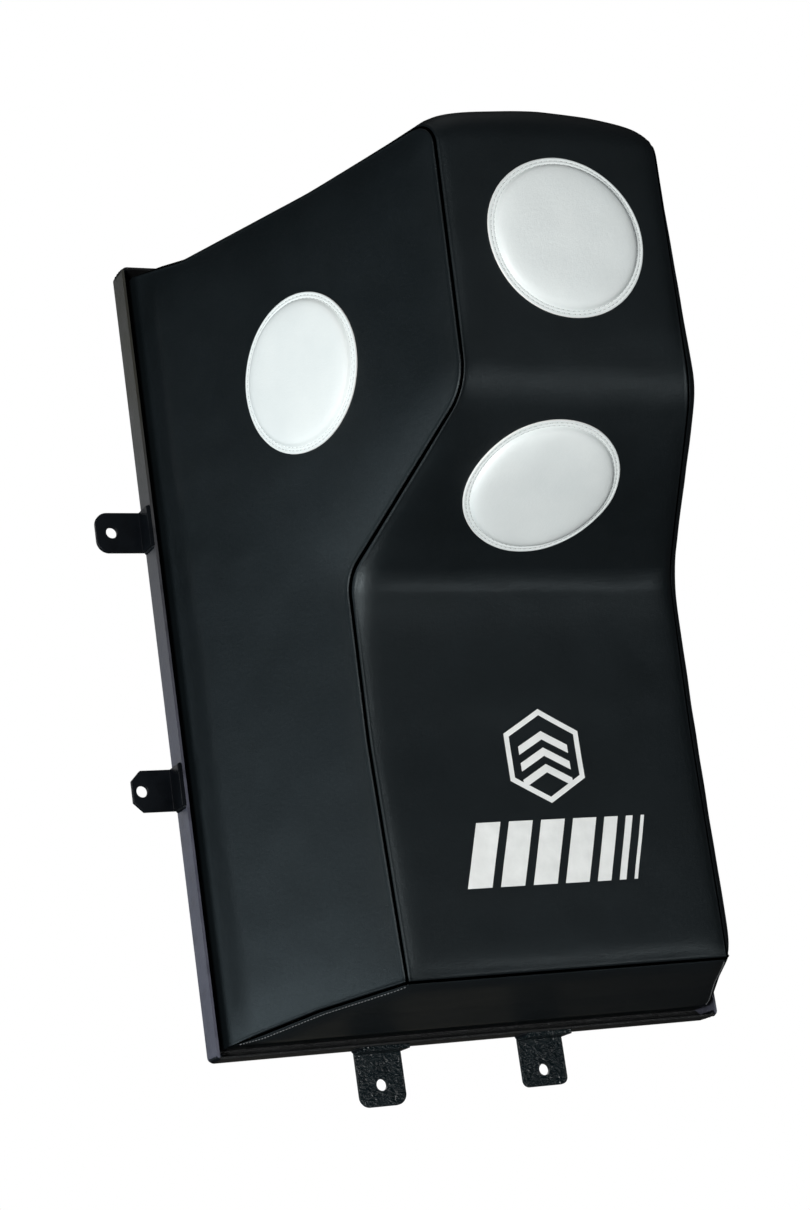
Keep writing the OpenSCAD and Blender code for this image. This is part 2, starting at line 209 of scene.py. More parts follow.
def flank_point(side, d, z):
    """Point and normal of a side panel at depth d and height z."""
    d, z = np.broadcast_arrays(np.asarray(d, float), np.asarray(z, float))
    shape = d.shape
    d, z = d.ravel(), z.ravel()
    h = 2e-3
    x = half_width(d, z)
    dd = np.maximum(d, LIP + h)
    hd = (half_width(dd + h, z) - half_width(dd - h, z)) / (2 * h)
    hz = (half_width(d, z + h) - half_width(d, z - h)) / (2 * h)
    nor = np.stack([side + 0 * x, hd, -side * hz], 1)
    nor /= np.linalg.norm(nor, axis=1)[:, None]
    pos = np.stack([side * x, -d, z], 1)
    seams = (front.nearest(d, z)[0], bottom.nearest(d, z)[0])
    # the foam is fuller beside the chin, and fuller still on the right, except near the head's top
    bulge = 0.0030 if side > 0 else 0.0010
    crown = CROWN_S + bulge * np.exp(-((z - CHIN[1]) / 0.10) ** 2 - ((d - 0.40) / 0.14) ** 2)
    reach = REACH_S
    if side > 0:
        crown, reach = crown + 0.0008 - 0.0045 * smooth(z, ZLO + 0.70, BROW[1]), 0.4 * REACH_S
    out = lifted(pos, nor, seams, crown, reach, d, 11.0 + side)
    return out.reshape(shape + (3,)), nor.reshape(shape + (3,))


# Distances from a seam at which the mesh has a line
EDGE = np.array([0, 0.00005, 0.0002, 0.00045, 0.0008, 0.0012, 0.0017, 0.0023, 0.0030, 0.0045, 0.0068, 0.0110])


def with_edges(length, step, lo=True, hi=True):
    a = EDGE if lo else np.array([0.0])
    b = EDGE if hi else np.array([0.0])
    n = max(2, int((length - a[-1] - b[-1]) / step))
    mid = np.linspace(a[-1], length - b[-1], n + 1)
    return np.concatenate([a[:-1], mid, length - b[:-1][::-1]])


def grid_object(name, pts, flip=False):
    """A smooth mesh from a grid of points."""
    r, c = pts.shape[:2]
    idx = np.arange(r * c).reshape(r, c)
    quads = np.stack([idx[:-1, :-1], idx[:-1, 1:], idx[1:, 1:], idx[1:, :-1]], -1).reshape(-1, 4)
    if flip:
        quads = quads[:, ::-1]
    me = bpy.data.meshes.new(name)
    me.from_pydata(pts.reshape(-1, 3).tolist(), [], quads.tolist())
    me.shade_smooth()
    ob = bpy.data.objects.new(name, me)
    scene.collection.objects.link(ob)
    return ob


def attribute(ob, name, values):
    a = ob.data.attributes.new(name, "FLOAT", "POINT")
    a.data.foreach_set("value", np.asarray(values, np.float32).ravel())


def make_strip(name, path):
    """Front or bottom panel, edges rolled into the seams and its hem folded behind the board."""
    is_front = path is front
    rows = with_edges(path.length, 0.005, is_front, not is_front)
    dz = path.at(rows)
    w = half_width(dz[:, 0], dz[:, 1])
    x = np.array([np.concatenate([-wi + EDGE[:-1], np.linspace(-wi + EDGE[-1], wi - EDGE[-1], 52),
                                  (wi - EDGE[:-1])[::-1]]) for wi in w])
    s = rows[:, None] + 0 * x
    pos, _ = strip_point(path, s, x)
    end, sign = (-1, 1) if is_front else (0, -1)
    edge_z = dz[end, 1]
    tail = [(LIP * 0.6, 0), (BOARD + 0.001, 0), (BOARD - SKIN * 0.6, -0.001), (BOARD - SKIN, -0.004),
            (BOARD - SKIN, -0.020), (BOARD - SKIN, -HEM)]
    extra = np.array([[[xx * (BASE - HEM if q < -0.002 else BASE) / BASE, -dd, edge_z + sign * q]
                       for xx in x[end]] for dd, q in tail])
    gap = np.minimum(np.minimum(w[:, None] - x, w[:, None] + x), s if is_front else path.length - s)
    far = np.ones(extra.shape[:2])
    parts = (lambda a, b: [a, b]) if is_front else (lambda a, b: [b[::-1], a])
    ob = grid_object(name, np.concatenate(parts(pos, extra)))
    attribute(ob, "seam_gap", np.concatenate(parts(gap, far)))
    attribute(ob, "seam_run", np.concatenate(parts(s, far)))
    return ob


def make_flank(name, side):
    """Side panel between the frame and the front, top and bottom seams."""
    v = with_edges(0.86, 0.006) / 0.86
    k = len(EDGE) - 1
    cols = 48
    f_pts = front.at(v * S_BROW)
    lin = np.linspace(0, 1, 300)
    t_pts = front.at(front.length - (front.length - S_BROW) * lin)
    b_pts = np.stack([np.full(len(v), LIP), BOTB[1] + v * (TOPB[1] - BOTB[1])], 1)
    c00, c10, c01, c11 = b_pts[0], f_pts[0], b_pts[-1], f_pts[-1]
    grid = np.empty((len(v), cols + k, 2))
    for i in range(len(v)):
        ln = np.linalg.norm(f_pts[i] - b_pts[i])
        u = np.concatenate([np.linspace(0, ln - EDGE[-1], cols), (ln - EDGE[:-1])[::-1]]) / ln
        uu = u[:, None]
        low = bottom.at(u * bottom.length)
        top = np.stack([np.interp(u, lin, t_pts[:, c]) for c in (0, 1)], 1)
        bil = (c00 * (1 - uu) + c10 * uu) * (1 - v[i]) + (c01 * (1 - uu) + c11 * uu) * v[i]
        grid[i] = b_pts[i] * (1 - uu) + f_pts[i] * uu + low * (1 - v[i]) + top * v[i] - bil
    pos, _ = flank_point(side, grid[..., 0], grid[..., 1])
    tail = [(BASE - HEM, BOARD - SKIN), (BASE - 0.02, BOARD - SKIN), (BASE - 0.004, BOARD - SKIN),
            (BASE - 0.001, BOARD - SKIN * 0.6), (BASE, BOARD + 0.001), (BASE, LIP * 0.6)]
    extra = np.array([[[side * xx, -dd, q] for xx, dd in tail] for q in grid[:, 0, 1]])
    gap, run = front.nearest(grid[..., 0], grid[..., 1])
    gap = np.minimum(gap, bottom.nearest(grid[..., 0], grid[..., 1])[0])
    far = np.ones(extra.shape[:2])
    ob = grid_object(name, np.concatenate([extra, pos], 1), flip=side > 0)
    attribute(ob, "seam_gap", np.concatenate([far, gap], 1))
    attribute(ob, "seam_run", np.concatenate([far, run], 1))
    return ob


# ---------------------------------------------------------------- materials
def new_mat(name):
    m = bpy.data.materials.new(name)
    m.use_nodes = True
    nt = m.node_tree
    nt.nodes.clear()
    out = nt.nodes.new("ShaderNodeOutputMaterial")
    b = nt.nodes.new("ShaderNodeBsdfPrincipled")
    nt.links.new(b.outputs[0], out.inputs[0])
    return m, nt, b


def node(nt, kind, **kw):
    n = nt.nodes.new(kind)
    for k, v in kw.items():
        if k in n.inputs.keys():
            n.inputs[k].default_value = v
        else:
            setattr(n, k, v)
    return n


def noise_tex(nt, co, scale, detail=4.0, rough=0.55):
    n = node(nt, "ShaderNodeTexNoise", Scale=scale, Detail=detail, Roughness=rough)
    nt.links.new(co, n.inputs["Vector"])
    return n.outputs["Fac"]


def ramp(nt, fac, stops):
    n = nt.nodes.new("ShaderNodeValToRGB")
    e = n.color_ramp.elements
    while len(e) < len(stops):
        e.new(0.5)
    for el, (p, c) in zip(e, stops):
        el.position, el.color = p, (c if len(c) == 4 else tuple(c) + (1,))
    nt.links.new(fac, n.inputs["Fac"])
    return n.outputs["Color"]


def to_range(nt, fac, a, b, lo=0.0, hi=1.0):
    n = node(nt, "ShaderNodeMapRange")
    for k, v in zip(("From Min", "From Max", "To Min", "To Max"), (lo, hi, a, b)):
        n.inputs[k].default_value = v
    nt.links.new(fac, n.inputs["Value"])
    return n.outputs["Result"]


def math_node(nt, op, a, b=None):
    n = node(nt, "ShaderNodeMath", operation=op)
    for i, v in enumerate((a, b)):
        if v is None:
            continue
        if isinstance(v, (int, float)):
            n.inputs[i].default_value = v
        else:
            nt.links.new(v, n.inputs[i])
    return n.outputs[0]


def bump(nt, height, dist, strength=1.0, normal=None):
    n = node(nt, "ShaderNodeBump", Distance=dist, Strength=strength)
    nt.links.new(height, n.inputs["Height"])
    if normal is not None:
        nt.links.new(normal, n.inputs["Normal"])
    return n.outputs["Normal"]


def coords(nt):
    return nt.nodes.new("ShaderNodeTexCoord").outputs["Object"]


def leather(name, dark, light, rough, grain=1.0, shine=0.5, tint=(1, 1, 1, 1), puckers=False):
    m, nt, b = new_mat(name)
    co = coords(nt)
    tone = noise_tex(nt, co, 14.0, 5.0, 0.6)
    nt.links.new(ramp(nt, tone, [(0.3, dark), (0.72, light)]), b.inputs["Base Color"])
    smear = noise_tex(nt, co, 5.0, 6.0, 0.62)
    nt.links.new(to_range(nt, smear, rough[0], rough[1], 0.3, 0.7), b.inputs["Roughness"])
    v = node(nt, "ShaderNodeTexVoronoi", feature="DISTANCE_TO_EDGE", Scale=900.0 / grain)
    nt.links.new(co, v.inputs["Vector"])
    pore = to_range(nt, v.outputs["Distance"], 0.0, 1.0, 0.0, 0.12)
    n1 = bump(nt, pore, 0.00010, 0.55)
    n2 = bump(nt, noise_tex(nt, co, 260.0, 3.0), 0.00035, 0.5, n1)
    # the puckers flag also paints shade into the seams' grooves, below
    if puckers:
        # needle puckers along the seams, 4 mm apart and fading out within a few millimetres
        gap = node(nt, "ShaderNodeAttribute", attribute_name="seam_gap").outputs["Fac"]
        run = node(nt, "ShaderNodeAttribute", attribute_name="seam_run").outputs["Fac"]
        wave = math_node(nt, "SINE", math_node(nt, "MULTIPLY", run, 2 * math.pi / SEAM_STITCH))
        near = to_range(nt, gap, 1.0, 0.0, 0.0010, 0.0045)
        n2 = bump(nt, math_node(nt, "MULTIPLY", wave, near), 0.00007, 0.6, n2)
        # painted shade: deep in a seam the leather's colour and its specular fall to black, standing in for
        # the crevice's shadow together with the dark thread sunk there
        nt.links.new(to_range(nt, gap, 0.0, shine, 0.0003, 0.0007), b.inputs["Specular IOR Level"])
        shade = node(nt, "ShaderNodeVectorMath", operation="SCALE")
        nt.links.new(b.inputs["Base Color"].links[0].from_socket, shade.inputs[0])
        nt.links.new(to_range(nt, gap, 0.0, 1.0, 0.0003, 0.0007), shade.inputs["Scale"])
        nt.links.new(shade.outputs["Vector"], b.inputs["Base Color"])
    nt.links.new(n2, b.inputs["Normal"])
    b.inputs["Specular IOR Level"].default_value = shine
    b.inputs["Specular Tint"].default_value = tint
    return m


def painted_steel(name, low, high, rough, hammer, chip, shine=0.5):
    """Black paint: low and high are its colours at the bottom and the top, and where they differ the change
    is painted light; hammer is the depth of its grain.
    """
    m, nt, b = new_mat(name)
    co = coords(nt)
    sep = nt.nodes.new("ShaderNodeSeparateXYZ")
    nt.links.new(co, sep.inputs[0])
    # painted light: the colour runs from low at the bottom to high at the top, as the light falls on the
    # paint
    rise = ramp(nt, to_range(nt, sep.outputs["Z"], 0.0, 1.0, ZLO + 0.25, ZLO + 0.75),
                [(0.0, low), (1.0, high)])
    tone = noise_tex(nt, co, 30.0, 8.0, 0.7)
    shade = node(nt, "ShaderNodeMix", data_type="RGBA", blend_type="MULTIPLY")
    shade.inputs["Factor"].default_value = 1.0
    nt.links.new(rise, shade.inputs["A"])
    nt.links.new(ramp(nt, tone, [(0.30, (0.45, 0.45, 0.45)), (0.5, (0.95, 0.95, 0.95)),
                                 (0.75, (1.25, 1.22, 1.15))]), shade.inputs["B"])
    mask = to_range(nt, noise_tex(nt, co, 130.0, 8.0, 0.72), 0.0, 1.0, chip, chip + 0.03)
    mix = node(nt, "ShaderNodeMix", data_type="RGBA")
    nt.links.new(mask, mix.inputs["Factor"])
    nt.links.new(shade.outputs["Result"], mix.inputs["A"])
    mix.inputs["B"].default_value = (0.34, 0.33, 0.31, 1)
    nt.links.new(mix.outputs["Result"], b.inputs["Base Color"])
    b.inputs["Specular IOR Level"].default_value = shine
    nt.links.new(to_range(nt, tone, rough - 0.1, rough + 0.12, 0.3, 0.75), b.inputs["Roughness"])
    n1 = bump(nt, noise_tex(nt, co, 300.0, 2.0, 0.5), hammer, 0.9)
    n2 = bump(nt, noise_tex(nt, co, 80.0, 4.0), 0.0008, 0.4, n1)
    nt.links.new(n2, b.inputs["Normal"])
    return m


def plain(name, a, c, scale, rough, metal=0.0, bump_scale=300.0, bump_dist=0.0002):
    m, nt, b = new_mat(name)
    co = coords(nt)
    nt.links.new(ramp(nt, noise_tex(nt, co, scale, 5.0), [(0.3, a), (0.7, c)]), b.inputs["Base Color"])
    nt.links.new(to_range(nt, noise_tex(nt, co, scale * 2, 4.0), rough - 0.07, rough + 0.07),
                 b.inputs["Roughness"])
    nt.links.new(bump(nt, noise_tex(nt, co, bump_scale, 3.0), bump_dist, 0.6), b.inputs["Normal"])
    b.inputs["Metallic"].default_value = metal
    return m


def plywood(name):
    m, nt, b = new_mat(name)
    co = coords(nt)
    mp = node(nt, "ShaderNodeMapping")
    mp.inputs["Scale"].default_value = (14.0, 40.0, 1.6)
    nt.links.new(co, mp.inputs["Vector"])
    w = node(nt, "ShaderNodeTexNoise", Scale=3.0, Detail=8.0, Roughness=0.65, Distortion=1.2)
    nt.links.new(mp.outputs["Vector"], w.inputs["Vector"])
    col = ramp(nt, w.outputs["Fac"], [(0.25, (0.36, 0.22, 0.11)), (0.5, (0.55, 0.38, 0.21)),
                                      (0.8, (0.68, 0.51, 0.31))])
    nt.links.new(col, b.inputs["Base Color"])
    b.inputs["Roughness"].default_value = 0.75
    nt.links.new(bump(nt, w.outputs["Fac"], 0.0006, 0.5), b.inputs["Normal"])
    return m


M_BLACK = leather("black_leather", (0.0028, 0.0043, 0.0052), (0.0044, 0.0064, 0.0078), (0.36, 0.46),
                  1.0, 0.34, (0.84, 0.96, 1.0, 1), True)
M_WHITE = leather("white_leather", (0.74, 0.79, 0.79), (0.80, 0.845, 0.84), (0.42, 0.52), 1.2)
M_RIM = leather("white_cut_edge", (0.80, 0.82, 0.80), (0.90, 0.91, 0.90), (0.5, 0.6), 0.6)
# painted light: the side rails' black paint is coloured lighter and bluer at the bottom, darker and olive at
# the top
M_PAINT_AND_PAINTED_LIGHT = painted_steel("rail_paint_and_painted_light", (0.070, 0.073, 0.100), (0.029, 0.029, 0.023), 0.5, 0.0003, 0.70)
M_LIP = painted_steel("lip_paint", (0.009, 0.0095, 0.010), (0.009, 0.0095, 0.010), 0.45, 0.0012, 0.70, 0.32)
M_EAR = painted_steel("ear_paint", (0.003, 0.0042, 0.0060), (0.003, 0.0042, 0.0060), 0.42, 0.0001, 0.76, 0.14)
M_HAMMER = painted_steel("hammered_paint", (0.003, 0.007, 0.009), (0.003, 0.007, 0.009), 0.24, 0.0034,
                         0.74, 0.36)
M_THREAD = plain("white_thread", (0.62, 0.64, 0.62), (0.8, 0.82, 0.8), 900.0, 0.6)
# partly painted highlight: the seam thread is grey, lighter than the black leather, so that its stitches show
# as the light dashes that are glints on the thread
M_SEAM_THREAD_AND_GLINT = plain("grey_thread_and_painted_glint", (0.09, 0.095, 0.10), (0.20, 0.205, 0.21), 900.0, 0.45)
# painted shade: the needle holes are dark dots laid on the leather, the shade inside each hole painted on
M_HOLE_SHADE = plain("needle_hole", (0.012, 0.012, 0.011), (0.04, 0.04, 0.036), 700.0, 0.8)
M_PRINT = plain("white_print", (0.74, 0.76, 0.75), (0.84, 0.86, 0.85), 60.0, 0.5, 0.0, 900.0, 0.00006)
M_ZINC = plain("zinc_steel", (0.42, 0.42, 0.42), (0.66, 0.66, 0.64), 60.0, 0.38, 1.0)
M_PLY = plywood("plywood_grain")


def dress(ob, mat):
    ob.data.materials.clear()
    ob.data.materials.append(mat)


def place(ob, mat, slot, *stands_for):
    """Gives a new piece its material, its body and the CAD nodes that it stands for."""
    dress(ob, mat)
    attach(ob, "root")
    if stands_for:
        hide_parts(*stands_for)


# ---------------------------------------------------------------- leather panels
panel_front = make_strip("panel_front", front)
panel_bottom = make_strip("panel_bottom", bottom)
panel_left = make_flank("panel_left", -1)
panel_right = make_flank("panel_right", 1)
place(panel_front, M_BLACK, "black_leather", "skin_front", "foam_core_head", "foam_face_head",
      "foam_face_slope", "foam_face_body")
place(panel_bottom, M_BLACK, "black_leather", "skin_bottom", "foam_core_body")
place(panel_left, M_BLACK, "black_leather", "skin_left")
place(panel_right, M_BLACK, "black_leather", "skin_right")


# ---------------------------------------------------------------- small repeated pieces
def tube_mesh(bm, a, b, r, normal, sides=6):
    """A stitch: a short round thread from a to b that dives at both ends."""
    a, b, normal = Vector(a), Vector(b), Vector(normal).normalized()
    t = (b - a).normalized()
    side = t.cross(normal).normalized()
    rings = []
    for f, k, sink in ((0.0, 0.45, 1.0), (0.12, 0.9, 0.35), (0.5, 1.0, 0.0), (0.88, 0.9, 0.35),
                       (1.0, 0.45, 1.0)):
        c = a.lerp(b, f) - normal * (sink * r * 1.2)
        rings.append([bm.verts.new(c + (side * math.cos(g) + normal * math.sin(g)) * r * k)
                      for g in (2 * math.pi * j / sides for j in range(sides))])
    for p, q in zip(rings, rings[1:]):
        for j in range(sides):
            bm.faces.new((p[j], p[(j + 1) % sides], q[(j + 1) % sides], q[j]))
    bm.faces.new(rings[0][::-1])
    bm.faces.new(rings[-1])


def dot_mesh(bm, c, normal, along, r, sides=8):
    c, n, u = Vector(c), Vector(normal).normalized(), Vector(along).normalized()
    w = n.cross(u)
    ring = [bm.verts.new(c + (u * math.cos(g) * 1.15 + w * math.sin(g)) * r) for g in
            (2 * math.pi * j / sides for j in range(sides))]
    mid = bm.verts.new(c - n * r * 0.35)
    for j in range(sides):
        bm.faces.new((ring[j], ring[(j + 1) % sides], mid))


def bm_object(name, bm, smooth_shade=True):
    bmesh.ops.recalc_face_normals(bm, faces=bm.faces)
    me = bpy.data.meshes.new(name)
    bm.to_mesh(me)
    bm.free()
    if smooth_shade:
        me.shade_smooth()
    ob = bpy.data.objects.new(name, me)
    scene.collection.objects.link(ob)
    return ob


# ---------------------------------------------------------------- target discs
R = 0.0878                                     # radius of a disc
ROWS = (R - 0.0034, R - 0.0068)                # radii of the two rows of stitching
ROW_STITCH = 0.0059                            # their pitch
THREAD_R, HOLE_R, HOLE_UP = 0.00042, 0.00105, 0.0003
PROFILE = [(R, -0.0022), (R, 0.0010), (R - 0.0003, 0.0016), (R - 0.0012, 0.0019), (R - 0.0024, 0.0018),
           (R - 0.0034, 0.0011), (R - 0.0044, 0.0018), (R - 0.0052, 0.0020), (R - 0.0060, 0.0017),
           (R - 0.0068, 0.0011), (R - 0.0076, 0.0019), (R - 0.0084, 0.0034), (R - 0.0095, 0.0048),
           (R - 0.0112, 0.0060), (R - 0.0138, 0.0070), (R - 0.0175, 0.0078), (R - 0.0225, 0.0084),
           (R - 0.0290, 0.0088), (R - 0.040, 0.0091), (R - 0.055, 0.0092), (R - 0.072, 0.0093),
           (0.004, 0.0093)]


def wobble(angle, seed):
    """How far the cut circle strays from a true one."""
    return 1 + 0.0035 * np.sin(2 * angle + seed) + 0.0016 * np.sin(5 * angle + 2 * seed)


def make_target(name, surface, stands_for, seed, wide=1.0, tall=1.0):
    """surface(a, b) gives point and normal of the panel a to the right and b up from the disc's middle.
    wide and tall stretch the disc a little, as the cutting and sewing did."""
    n = 192
    g = np.linspace(0, 2 * math.pi, n, endpoint=False)
    rad = np.array([p[0] for p in PROFILE])
    hgt = np.array([p[1] for p in PROFILE])
    rr = rad[:, None] * wobble(g, seed)[None]
    pos, nor = surface(wide * rr * np.cos(g), tall * rr * np.sin(g))
    puff = np.array([noise.noise(Vector(q) * 30 + Vector((seed, 0, 0)))
                     for q in pos.reshape(-1, 3)]).reshape(rr.shape)
    h = hgt[:, None] + puff * 0.0005 * smooth(R - rr, 0.006, 0.02)
    pts = pos + nor * h[..., None]
    verts = pts.reshape(-1, 3).tolist()
    c, cn = surface(np.array(0.0), np.array(0.0))
    verts.append((c + cn * PROFILE[-1][1]).tolist())
    faces = []
    for i in range(len(rad) - 1):
        for j in range(n):
            k = (j + 1) % n
            faces.append((i * n + j, i * n + k, (i + 1) * n + k, (i + 1) * n + j))
    last = (len(rad) - 1) * n
    faces += [(last + j, last + (j + 1) % n, len(verts) - 1) for j in range(n)]
    me = bpy.data.meshes.new(name)
    me.from_pydata(verts, [], faces)
    me.shade_smooth()
    ob = bpy.data.objects.new(name, me)
    scene.collection.objects.link(ob)
    place(ob, M_WHITE, "white_leather", *stands_for)
    me.materials.append(M_RIM)
    for i, p in enumerate(me.polygons):
        if i < 2 * n:
            p.material_index = 1
    threads, holes = bmesh.new(), bmesh.new()
    for row in ROWS:
        m = int(2 * math.pi * row / ROW_STITCH)
        top = float(np.interp(row, rad[::-1], hgt[::-1]))
        jit = [random.uniform(-0.06, 0.06) for _ in range(m)]
        ang = np.array([2 * math.pi * (j + jit[j] + 0.3 * (row == ROWS[0])) / m for j in range(m)])
        rw = row * wobble(ang, seed)
        q, qn = surface(wide * rw * np.cos(ang), tall * rw * np.sin(ang))
        for j in range(m):
            a, b = q[j], q[(j + 1) % m]
            na = qn[j]
            base = na * top
            along = b - a
            tube_mesh(threads, a + along * 0.2 + base, b - along * 0.2 + base, THREAD_R, na)
            # a dark dot at each hole: painted shade of the hole
            dot_mesh(holes, a + na * (top + HOLE_UP), na, along, HOLE_R)
    t = bm_object(name + "_thread", threads)
    place(t, M_THREAD, "white_leather")
    o = bm_object(name + "_needle_holes", holes)
    place(o, M_HOLE_SHADE, "white_leather")


def on_front(s0, x0):
    def surface(a, b):
        return strip_point(front, s0 + np.asarray(b), x0 + np.asarray(a))
    return surface


def on_flank(side, d0, z0):
    run = math.cos(math.atan(FLANK_TAPER))

    def surface(a, b):
        return flank_point(side, d0 - side * np.asarray(a) * run, z0 + np.asarray(b))
    return surface


s_head = float(front.nearest([0.471], [ZLO + 0.7506])[1][0])
s_slope = float(front.nearest([0.3626], [ZLO + 0.5263])[1][0])
make_target("target_head", on_front(s_head - 0.0002, 0.0031), ("target_cover_head", "target_puck_head"), 0.4,
            1.03, 0.992)
make_target("target_slope", on_front(s_slope + 0.0021, -0.0090),
            ("target_cover_slope", "target_puck_slope"), 1.7, 1.01, 0.925)
for side, word, seed in ((-1, "left", 2.9), (1, "right", 4.2)):
    make_target("target_" + word, on_flank(side, 0.2652, ZLO + 0.6787),
                ("target_cover_" + word, "target_puck_" + word), seed, 0.955, 0.99)


# ---------------------------------------------------------------- seam stitches and printed emblem
def stitches(name, points, normals, r=0.0006):
    bm = bmesh.new()
    for p, q, n in zip(points, points[1:], normals):
        tube_mesh(bm, p + (q - p) * 0.18, q - (q - p) * 0.18, r, n)
    # the grey thread carries a painted glint
    place(bm_object(name, bm), M_SEAM_THREAD_AND_GLINT, "black_leather")


for side, word in ((-1, "left"), (1, "right")):
    run = np.arange(0.012, bottom.length - 0.004, SEAM_STITCH)
    ww = half_width(bottom.at(run)[:, 0], bottom.at(run)[:, 1]) - 0.0027
    p, n = strip_point(bottom, run, side * ww)
    stitches("bottom_seam_stitches_" + word, p + n * 0.0003, n)


def decal(bm, surface, corners, thick=0.00035, cell=0.006):
    """A printed patch with four corners (a, b), laid on a panel."""
    c = np.array(corners, float)
    nu = max(1, int(max(np.linalg.norm(c[1] - c[0]), np.linalg.norm(c[2] - c[3])) / cell))
    nv = max(1, int(max(np.linalg.norm(c[3] - c[0]), np.linalg.norm(c[2] - c[1])) / cell))
    u, v = np.meshgrid(np.linspace(0, 1, nu + 1), np.linspace(0, 1, nv + 1))
    q = (c[0] * ((1 - u) * (1 - v))[..., None] + c[1] * (u * (1 - v))[..., None]
         + c[2] * (u * v)[..., None] + c[3] * ((1 - u) * v)[..., None])
    p, n = surface(q[..., 0], q[..., 1])
    top = [[bm.verts.new(t) for t in row] for row in (p + n * thick)]
    low = [[bm.verts.new(t) for t in row] for row in (p - n * 0.0003)]
    for j in range(nv):
        for i in range(nu):
            bm.faces.new((top[j][i], top[j][i + 1], top[j + 1][i + 1], top[j + 1][i]))
            bm.faces.new((low[j][i], low[j + 1][i], low[j + 1][i + 1], low[j][i + 1]))
    rim = ([(0, i) for i in range(nu)] + [(j, nu) for j in range(nv)]
           + [(nv, i) for i in range(nu, 0, -1)] + [(j, 0) for j in range(nv, 0, -1)])
    for k, (j, i) in enumerate(rim):
        jj, ii = rim[(k + 1) % len(rim)]
        bm.faces.new((top[j][i], low[j][i], low[jj][ii], top[jj][ii]))


def on_body(x0, z0):
    s0 = float(front.nearest([LOWER[0] + (CREASE[0] - LOWER[0]) * 0.4], [z0])[1][0])
    return on_front(s0, x0)


# plain geometric sign: a hexagon ring round three chevrons, over a band of slanted bars
OUTER, INNER, CHEVRON = 0.051, 0.0445, 0.029     # radii of the hexagon ring, half width of a chevron
LEAN, BAR = 0.013, 0.034                         # slant and half height of the bars
bm = bmesh.new()
patch = on_body(0.004, ZLO + 0.2565)
ring = [(math.sin(math.radians(60 * k)), math.cos(math.radians(60 * k))) for k in range(6)]
for k in range(6):
    p, q = ring[k], ring[(k + 1) % 6]
    decal(bm, patch, [(c[0] * r, c[1] * r) for c, r in ((p, OUTER), (q, OUTER), (q, INNER), (p, INNER))])
for up in (-0.022, -0.004, 0.014):
    for x in (-CHEVRON, CHEVRON):
        decal(bm, patch, [(0, up + 0.013), (x, up - 0.003), (x, up - 0.012), (0, up + 0.004)])
place(bm_object("emblem_sign", bm, False), M_PRINT, "white_leather")
bm = bmesh.new()
patch = on_body(0.010, ZLO + 0.154)
for x0, x1 in ((-0.106, -0.078), (-0.068, -0.040), (-0.030, -0.002), (0.008, 0.036), (0.046, 0.062),
               (0.072, 0.080), (0.090, 0.094)):
    decal(bm, patch, [(x0 - LEAN, -BAR), (x1 - LEAN, -BAR), (x1 + LEAN * 0.6, BAR), (x0 + LEAN * 0.6, BAR)])
place(bm_object("emblem_bars", bm, False), M_PRINT, "white_leather")


# ---------------------------------------------------------------- steel frame
def steel_copy(name, width, paint, seg=2):
    """The CAD piece with its edges rounded as rolled and cut steel is."""
    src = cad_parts[name]
    bm = bmesh.new()
    bm.from_mesh(src.data)
    bmesh.ops.remove_doubles(bm, verts=bm.verts, dist=1e-6)
    bmesh.ops.dissolve_limit(bm, angle_limit=math.radians(1.0), verts=bm.verts, edges=bm.edges)
    sharp = [e for e in bm.edges if len(e.link_faces) == 2 and e.calc_face_angle(0) > math.radians(30)]
    bmesh.ops.bevel(bm, geom=sharp, offset=width, segments=seg, profile=0.6, affect="EDGES",
                    clamp_overlap=True)
    bmesh.ops.triangulate(bm, faces=[f for f in bm.faces if len(f.verts) > 4])
    ob = bm_object(name + "_steel", bm, False)
    for p in ob.data.polygons:
        p.use_smooth = max(abs(c) for c in p.normal) < 0.999
    mod = ob.modifiers.new("edges", "WEIGHTED_NORMAL")
    mod.keep_sharp = True
    place(ob, paint, "frame_paint", name)


for r in RAILS:
    steel_copy(r, 0.0009, M_PAINT_AND_PAINTED_LIGHT if "left" in r or "right" in r else M_LIP)
for r in EARS:
    steel_copy(r, 0.0011, M_HAMMER if "bottom" in r or "top" in r else M_EAR)


def weld_bead(bm, a, b, out, r, sides=8):
    """A rippled bead of weld metal from a to b, bulging towards out."""
    a, b = Vector(a), Vector(b)
    t = (b - a).normalized()
    u = Vector(out).normalized()
    w = t.cross(u)
    n = int((b - a).length / 0.0008)
    rings = []
    for i in range(n + 1):
        f = i / n
        end = min(1.0, min(f, 1 - f) * n / 3 + 0.35)
        ripple = 1 + 0.13 * math.sin(2 * math.pi * i / 3.3) + 0.28 * noise.noise(a.lerp(b, f) * 260)
        c = a.lerp(b, f)
        rings.append([bm.verts.new(c + (u * math.cos(g) + w * math.sin(g)) * r * end * ripple)
                      for g in (2 * math.pi * j / sides for j in range(sides))])
    for p, q in zip(rings, rings[1:]):
        for j in range(sides):
            bm.faces.new((p[j], p[(j + 1) % sides], q[(j + 1) % sides], q[j]))
    bm.faces.new(rings[0][::-1])
    bm.faces.new(rings[-1])


